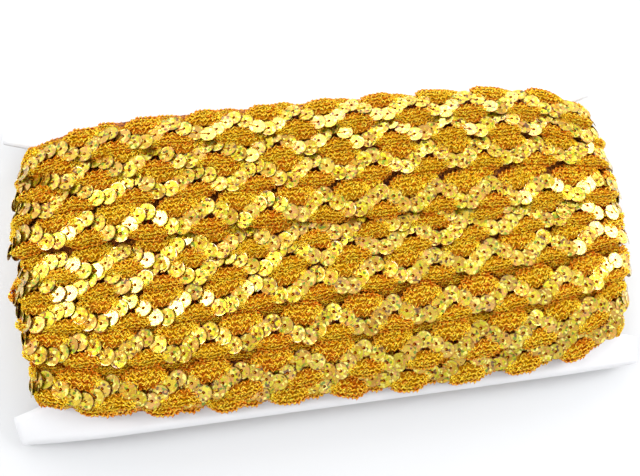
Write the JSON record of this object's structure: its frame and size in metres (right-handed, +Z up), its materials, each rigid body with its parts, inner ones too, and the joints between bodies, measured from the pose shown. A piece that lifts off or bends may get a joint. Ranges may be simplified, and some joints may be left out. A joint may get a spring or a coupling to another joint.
{
  "type": "sequin trim on card",
  "caption": "Gold scalloped sequin braid wound lengthwise round a flat white card with dovetail-notched ends, lying flat.",
  "frame": {"origin": "on the surface it lies on, under the middle of the whole thing", "axes": "+X along the card's long side, towards the right in the picture; +Y across it, towards the far edge; +Z up"},
  "size_m": [0.23, 0.119, 0.0222],
  "materials": {
    "trim": "metallic gold crochet braid with flat gold sequins",
    "card": "matt white paperboard"
  },
  "bodies": {
    "root": {"winding": "trim", "loose_end": "trim", "card": "card"}
  },
  "joints": []
}
